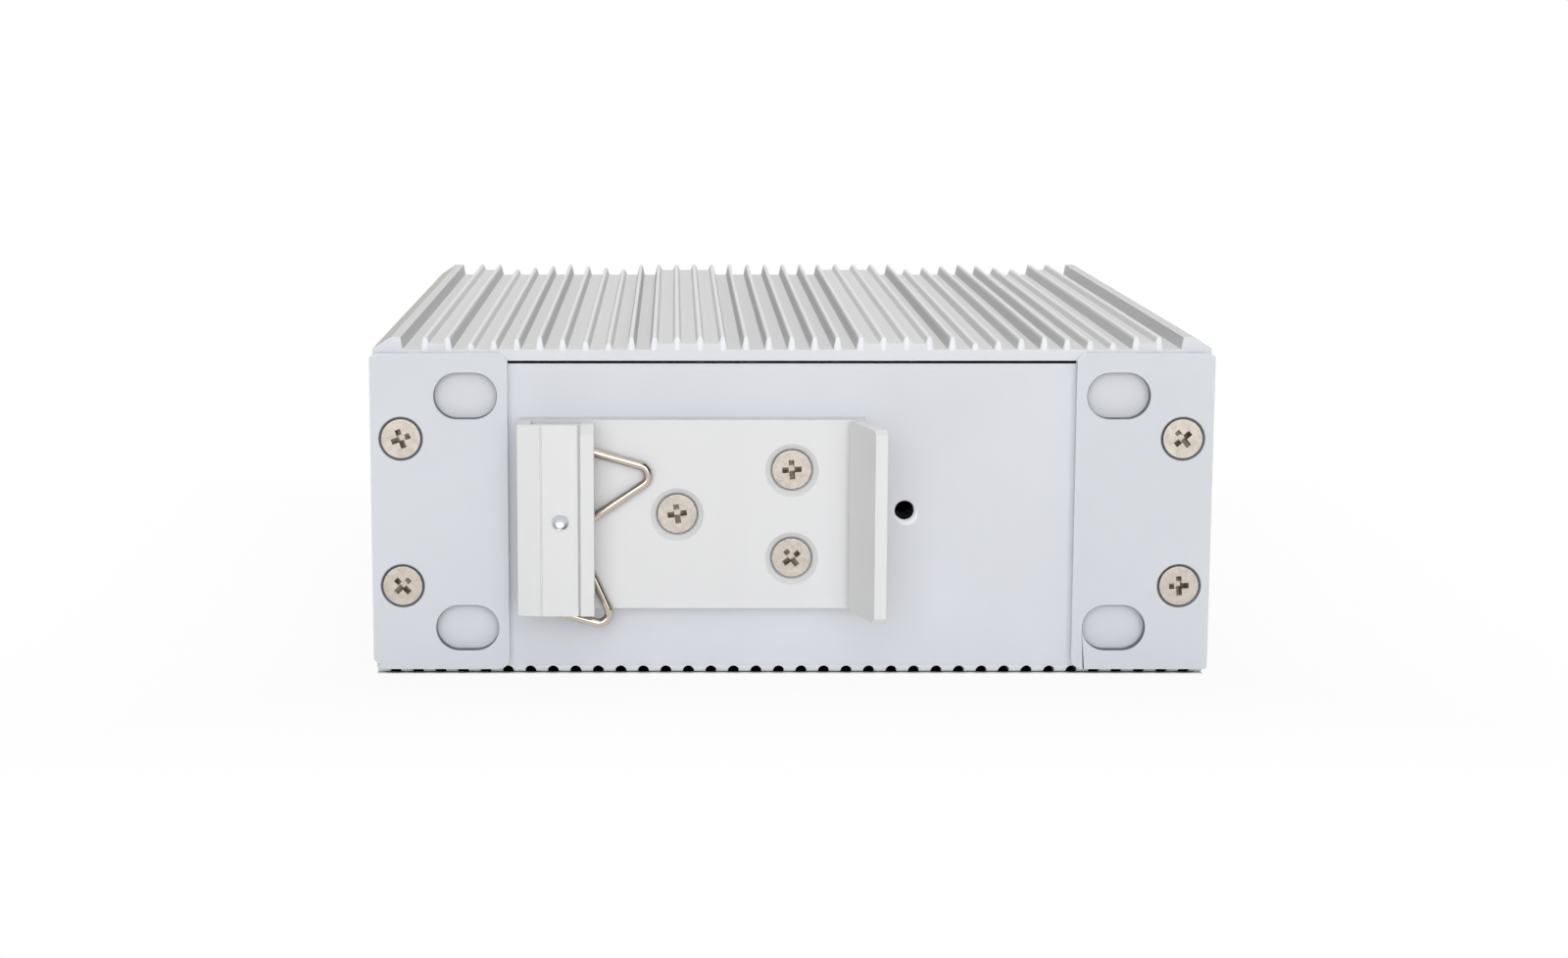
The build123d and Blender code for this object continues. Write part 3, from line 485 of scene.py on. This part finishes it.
def spare_rim(coat):
    """Painted highlight as a crescent at the rim of the spare hole, widest at its lower right."""
    tree = coat.tree
    hole = next(mount for mount in frame["record"]["mounts"] if mount["name"] == "spare_clip_hole")
    across, _, up = hole["pos_m"]
    x, y, z = axes(tree, coat.place)
    aside = operate(tree, "SUBTRACT", x, across)
    below = operate(tree, "SUBTRACT", up, z)
    reach = length(tree, aside, below)
    turned = operate(tree, "ADD", product(tree, aside, SPARE_LEAN[0]), product(tree, below, SPARE_LEAN[1]))
    wide = product(tree, operate(tree, "DIVIDE", turned, reach), SPARE_RIM * MM)
    beyond = operate(tree, "SUBTRACT", operate(tree, "SUBTRACT", reach, hole["dims"]["r_mm"] * MM), wide)
    share = product(
        tree,
        ramp(tree, beyond, SPARE_BLUR * MM, -SPARE_BLUR * MM),
        operate(tree, "GREATER_THAN", turned, 0),
        operate(tree, "LESS_THAN", y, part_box("chassis_tray")[0].y + SPARE_DEPTH * MM),
    )
    coat.shade_over(share, PAINTED_HIGHLIGHT)


def painted_slope_shade(coat, slopes):
    """Painted shade on the cover's corner slopes, which start at a distance from the middle."""
    tree = coat.tree
    aside = operate(tree, "ABSOLUTE", axes(tree, coat.place)[0])
    sloped = between(tree, axes(tree, coat.normal)[2], *SLOPE_SPAN)
    sloped = product(tree, sloped, operate(tree, "GREATER_THAN", aside, slopes))
    coat.shade_over(product(tree, sloped, SLOPE_SHADE_SHARE), SLOPE_PAINTED_SHADE)


def screw_rings(coat):
    """Painted shade in the clip's countersinks, below the faces of their screws."""
    tree = coat.tree
    low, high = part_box("clip_screws")
    x, y, z = axes(tree, coat.place)
    share = product(
        tree,
        between(tree, x, low.x - RING_MARGIN * MM, high.x + RING_MARGIN * MM),
        between(tree, z, low.z - RING_MARGIN * MM, high.z + RING_MARGIN * MM),
        operate(tree, "GREATER_THAN", y, low.y + RING_START * MM),
    )
    coat.shade_over(share, RING_PAINTED_SHADE)


def ear_coat():
    """Coat of the wall ears, with painted highlights on their edges and painted shade in their slots and
    countersinks.
    """
    coat = powder_coat("ear_coat")
    painted_edge_highlights(coat)
    for name in ("wall_ear_left", "wall_ear_right"):
        painted_slot_shade(coat, name)
    return coat.material


def panel_coat():
    """Coat of the folded tray and the front panel, with painted highlights on its edges and round the rim
    of the spare hole and painted shade inside the case.
    """
    coat = powder_coat("panel_coat")
    painted_edge_highlights(coat)
    painted_inner_shade(coat)
    spare_rim(coat)
    return coat.material


def cover_coat():
    """Coat of the extruded cover, with the grain drawn out along the ribs, painted highlights and shade on
    the ribs and edges, and painted shade on the slopes and inside.
    """
    coat = powder_coat("cover_coat")
    shaded_ribs(coat)
    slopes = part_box("finned_cover")[1].x - CORNER_SLOPE * MM
    aside = operate(coat.tree, "ABSOLUTE", axes(coat.tree, coat.place)[0])
    painted_edge_highlights(coat, operate(coat.tree, "LESS_THAN", aside, slopes))
    painted_slope_shade(coat, slopes)
    painted_inner_shade(coat)
    return coat.material


def clip_coat():
    """Anodized coat of the rail clip, with painted shade in the countersinks of its screws."""
    coat = powder_coat("clip_aluminium")
    screw_rings(coat)
    return coat.material


def clear_plastic():
    """Clear moulded plastic of the light pipes."""
    clear = Shader("clear_plastic", CLEAR_COLOR, CLEAR_ROUGHNESS)
    clear.surface.inputs["Transmission Weight"].default_value = CLEAR_THROUGH
    clear.surface.inputs["IOR"].default_value = CLEAR_IOR
    clear.uneven(clear.noise(*CLEAR_NOISE), *CLEAR_RANGE)
    return clear.material


def palette():
    """Every material by its slot in the record."""
    made = {
        "cover_coat": cover_coat(),
        "panel_coat": panel_coat(),
        "ear_coat": ear_coat(),
        "clip_aluminium": clip_coat(),
        "clear_plastic": clear_plastic(),
    }
    for name, (color, roughness, strength) in METALS.items():
        made[name] = grained(name, METAL, color, roughness, strength, metallic=1.0).material
    for name, (color, roughness) in PLASTICS.items():
        made[name] = grained(name, PLASTIC, color, roughness, PLASTIC_GRAIN).material
    return made


def dress_nodes(materials):
    """Every node of the frame takes the material of its slot."""
    for part in frame["record"]["subparts"]:
        node = frame["nodes"][part["node"]]
        node.data.materials.clear()
        node.data.materials.append(materials[part["material_slot"]])


def soften_edges(node, width, clamp=True):
    """A narrow round edge that catches the light."""
    weld = node.modifiers.new("weld", "WELD")
    weld.merge_threshold = WELD_GAP
    flat = node.modifiers.new("flat", "DECIMATE")
    flat.decimate_type = "DISSOLVE"
    flat.angle_limit = math.radians(FLAT_ANGLE)
    edge = node.modifiers.new("edge", "BEVEL")
    edge.width = width * MM
    edge.segments = EDGE_STEPS
    edge.limit_method = "ANGLE"
    edge.angle_limit = math.radians(EDGE_ANGLE)
    edge.use_clamp_overlap = clamp
    even = node.modifiers.new("even", "WEIGHTED_NORMAL")
    even.weight = NORMAL_WEIGHT


def mesh_object(name, mesh):
    """A bmesh as an object of the scene."""
    data = bpy.data.meshes.new(name)
    mesh.to_mesh(data)
    mesh.free()
    made = bpy.data.objects.new(name, data)
    bpy.context.scene.collection.objects.link(made)
    return made


def apply_modifiers(piece):
    """Turns a piece with modifiers into its plain mesh."""
    graph = bpy.context.evaluated_depsgraph_get()
    data = bpy.data.meshes.new_from_object(piece.evaluated_get(graph))
    piece.modifiers.clear()
    piece.data = data


def islands(mesh):
    """The separate solids of a welded mesh, from the left, each as its vertices and its box's corners."""
    found = []
    left = set(mesh.verts)
    while left:
        group = []
        queue = [left.pop()]
        while queue:
            vertex = queue.pop()
            group.append(vertex)
            near = [edge.other_vert(vertex) for edge in vertex.link_edges]
            fresh = [other for other in near if other in left]
            left.difference_update(fresh)
            queue.extend(fresh)
        low = Vector(min(vertex.co[axis] for vertex in group) for axis in range(3))
        high = Vector(max(vertex.co[axis] for vertex in group) for axis in range(3))
        found.append((group, low, high))
    return sorted(found, key=lambda solid: tuple(round(solid[1][axis], ORDER_DECIMALS) for axis in (0, 2)))


def cross(width, reach):
    """Outline of a cross with equal arms, in the plane of a screw's face."""
    arm = [(reach, -width), (reach, width), (width, width)]
    points = []
    for turn in range(RECESS_ARMS):
        spin = Matrix.Rotation(math.radians(360 / RECESS_ARMS * turn), 2)
        points += [spin @ Vector(point) for point in arm]
    return points


def join_rings(mesh, rings):
    """Closes rings of vertices into a body, with a face at each end."""
    mesh.faces.new(rings[0])
    mesh.faces.new(rings[-1])
    for upper, lower in zip(rings, rings[1:]):
        for n in range(len(upper)):
            mesh.faces.new((upper[n - 1], lower[n - 1], lower[n], upper[n]))


def recess(mesh, centre, radius, inward, angle):
    """Adds one tapered cross with a flat bottom, which starts just outside a screw's face."""
    spin = Matrix.Rotation(math.radians(angle), 2)
    rings = []
    for depth, size in ((RECESS_START, RECESS_FACE), (0, RECESS_FACE), (RECESS_DEPTH, RECESS_BASE)):
        ring = []
        for point in cross(*size):
            x, z = spin @ point * radius
            ring.append(mesh.verts.new(centre + Vector((x, inward * depth * radius, z))))
        rings.append(ring)
    join_rings(mesh, rings)


def dressed_screws(name, diameter, inward, angles):
    """Screws of a node with a cross recess in each head."""
    node = frame["nodes"][name]
    fit = HEAD_FIT.get(name, 1)
    welded = bmesh.new()
    welded.from_mesh(node.data)
    bmesh.ops.remove_doubles(welded, verts=welded.verts, dist=WELD_GAP)
    cutter = bmesh.new()
    for (group, low, high), angle in zip(islands(welded), angles):
        face = low.y if inward > 0 else high.y
        centre = Vector(((low.x + high.x) / 2, face, (low.z + high.z) / 2))
        for vertex in group:
            vertex.co.x = centre.x + fit * (vertex.co.x - centre.x)
            vertex.co.z = centre.z + fit * (vertex.co.z - centre.z)
        recess(cutter, centre, fit * diameter / 2 * MM, inward, angle)
    bmesh.ops.recalc_face_normals(cutter, faces=cutter.faces)
    screws = mesh_object(name + "_dressed", welded)
    tool = mesh_object(name + "_recess", cutter)
    soften_edges(screws, HEAD_EDGE)
    cut = screws.modifiers.new("recess", "BOOLEAN")
    cut.object = tool
    cut.solver = "EXACT"
    apply_modifiers(screws)
    bpy.data.objects.remove(tool)
    screws.data.materials.append(node.data.materials[0])
    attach(screws, "root")
    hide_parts(name)


def circle(mesh, middle, radius, depth):
    """Ring of vertices round an axis along Y, at a depth in millimetres."""
    ring = []
    for n in range(DISH_SIDES):
        angle = 2 * math.pi * n / DISH_SIDES
        place = Vector((math.cos(angle) * radius, depth, math.sin(angle) * radius)) * MM
        ring.append(mesh.verts.new(middle + place))
    return ring


def punch_mark(metal):
    """Shallow dish that the punch left on the head of the clip, seated on the head's face."""
    low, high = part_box("rail_clip")
    across = low.x + PUNCH_INSET * MM
    head = [corner.co for corner in frame["nodes"]["rail_clip"].data.vertices if corner.co.x < across]
    middle = Vector((across, min(place.y for place in head), (low.z + high.z) / 2 - PUNCH_DROP * MM))
    dish = bmesh.new()
    rings = [circle(dish, middle, PUNCH_RADIUS, PUNCH_DEPTH + FIT)]
    for step in range(DISH_RINGS + 1):
        share = 1 - step / DISH_RINGS
        depth = PUNCH_RIM + (PUNCH_DEPTH - PUNCH_RIM) * (1 - share ** 2)
        rings.append(circle(dish, middle, PUNCH_RADIUS * max(share, DISH_CENTRE), depth))
    join_rings(dish, rings)
    bmesh.ops.recalc_face_normals(dish, faces=dish.faces)
    for face in dish.faces:
        face.smooth = True
    mark = mesh_object("punch_mark", dish)
    mark.data.materials.append(metal)
    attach(mark, "root")


def seen_directly(tree):
    """1 for camera, glossy and transmission rays."""
    path = tree.nodes.new("ShaderNodeLightPath")
    total = path.outputs["Is Camera Ray"]
    for name in ("Is Glossy Ray", "Is Transmission Ray"):
        total = operate(tree, "MAXIMUM", total, path.outputs[name])
    return total


def beyond_footprint(tree):
    """Distance of a floor point from the object's footprint, in metres, below zero inside it."""
    x, y, _ = axes(tree, tree.nodes.new("ShaderNodeTexCoord").outputs["Object"])
    low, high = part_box("chassis_tray")
    across = operate(tree, "SUBTRACT", operate(tree, "ABSOLUTE", x), high.x)
    along = operate(tree, "SUBTRACT", operate(tree, "ABSOLUTE", y), -low.y)
    return operate(tree, "MAXIMUM", across, along)


def floor():
    """White floor that keeps the object's shadow and stays white to the eye, with a painted shadow that
    makes it black under the case.
    """
    bpy.ops.mesh.primitive_plane_add(size=FLOOR_SIZE, location=(0, 0, 0))
    plane = bpy.context.object
    plane.name = "floor"
    material = bpy.data.materials.new("floor")
    material.use_nodes = True
    tree = material.node_tree
    tree.nodes.clear()
    output = tree.nodes.new("ShaderNodeOutputMaterial")
    diffuse = tree.nodes.new("ShaderNodeBsdfDiffuse")
    glow = tree.nodes.new("ShaderNodeEmission")
    mix = tree.nodes.new("ShaderNodeMixShader")
    distance = beyond_footprint(tree)
    rise = ramp(tree, distance, 0, GLOW_REACH, GLOW_NEAR)
    outside = operate(tree, "GREATER_THAN", distance, 0)
    # Painted shadow: the floor turns black inside the case's footprint, past a narrow lit edge
    lit = operate(tree, "GREATER_THAN", distance, -FLOOR_LIT * MM)
    tree.links.new(operate(tree, "MULTIPLY", lit, FLOOR_WHITE), diffuse.inputs["Color"])
    tree.links.new(product(tree, seen_directly(tree), outside, rise), mix.inputs["Fac"])
    tree.links.new(diffuse.outputs["BSDF"], mix.inputs[1])
    tree.links.new(glow.outputs["Emission"], mix.inputs[2])
    tree.links.new(mix.outputs["Shader"], output.inputs["Surface"])
    plane.data.materials.append(material)


def world():
    """Soft light all round, white behind the object. Gloss shows it with dark gaps between soft boxes."""
    made = bpy.data.worlds.new("world")
    bpy.context.scene.world = made
    made.use_nodes = True
    tree = made.node_tree
    background = tree.nodes["Background"]
    background.inputs["Color"].default_value = (1, 1, 1, 1)
    strength = ramp(tree, seen_directly(tree), 0, 1, WORLD_STRENGTH)
    x, _, z = axes(tree, tree.nodes.new("ShaderNodeTexCoord").outputs["Generated"])
    raised = between(tree, z, *(math.sin(math.radians(angle)) for angle in GAP_ELEVATIONS))
    side = math.sin(math.radians(GAP_SIDEWAYS))
    beside = operate(tree, "GREATER_THAN", operate(tree, "ABSOLUTE", x), side)
    glossy = tree.nodes.new("ShaderNodeLightPath").outputs["Is Glossy Ray"]
    gap = product(tree, operate(tree, "MAXIMUM", raised, beside), glossy, 1 - STUDIO_GAP)
    light = operate(tree, "MULTIPLY", strength, operate(tree, "SUBTRACT", 1, gap))
    tree.links.new(light, background.inputs["Strength"])


def main():
    """The stage, the materials, the softened nodes and the pieces that only the scene has."""
    camera()
    lights()
    world()
    floor()
    materials = palette()
    dress_nodes(materials)
    for name, width in EDGE_WIDTHS.items():
        soften_edges(frame["nodes"][name], width, name not in FULL_EDGES)
    punch_mark(materials["bare_aluminium"])
    for name, values in SCREWS.items():
        dressed_screws(name, *values)
    bpy.context.scene.view_settings.view_transform = "Standard"


main()
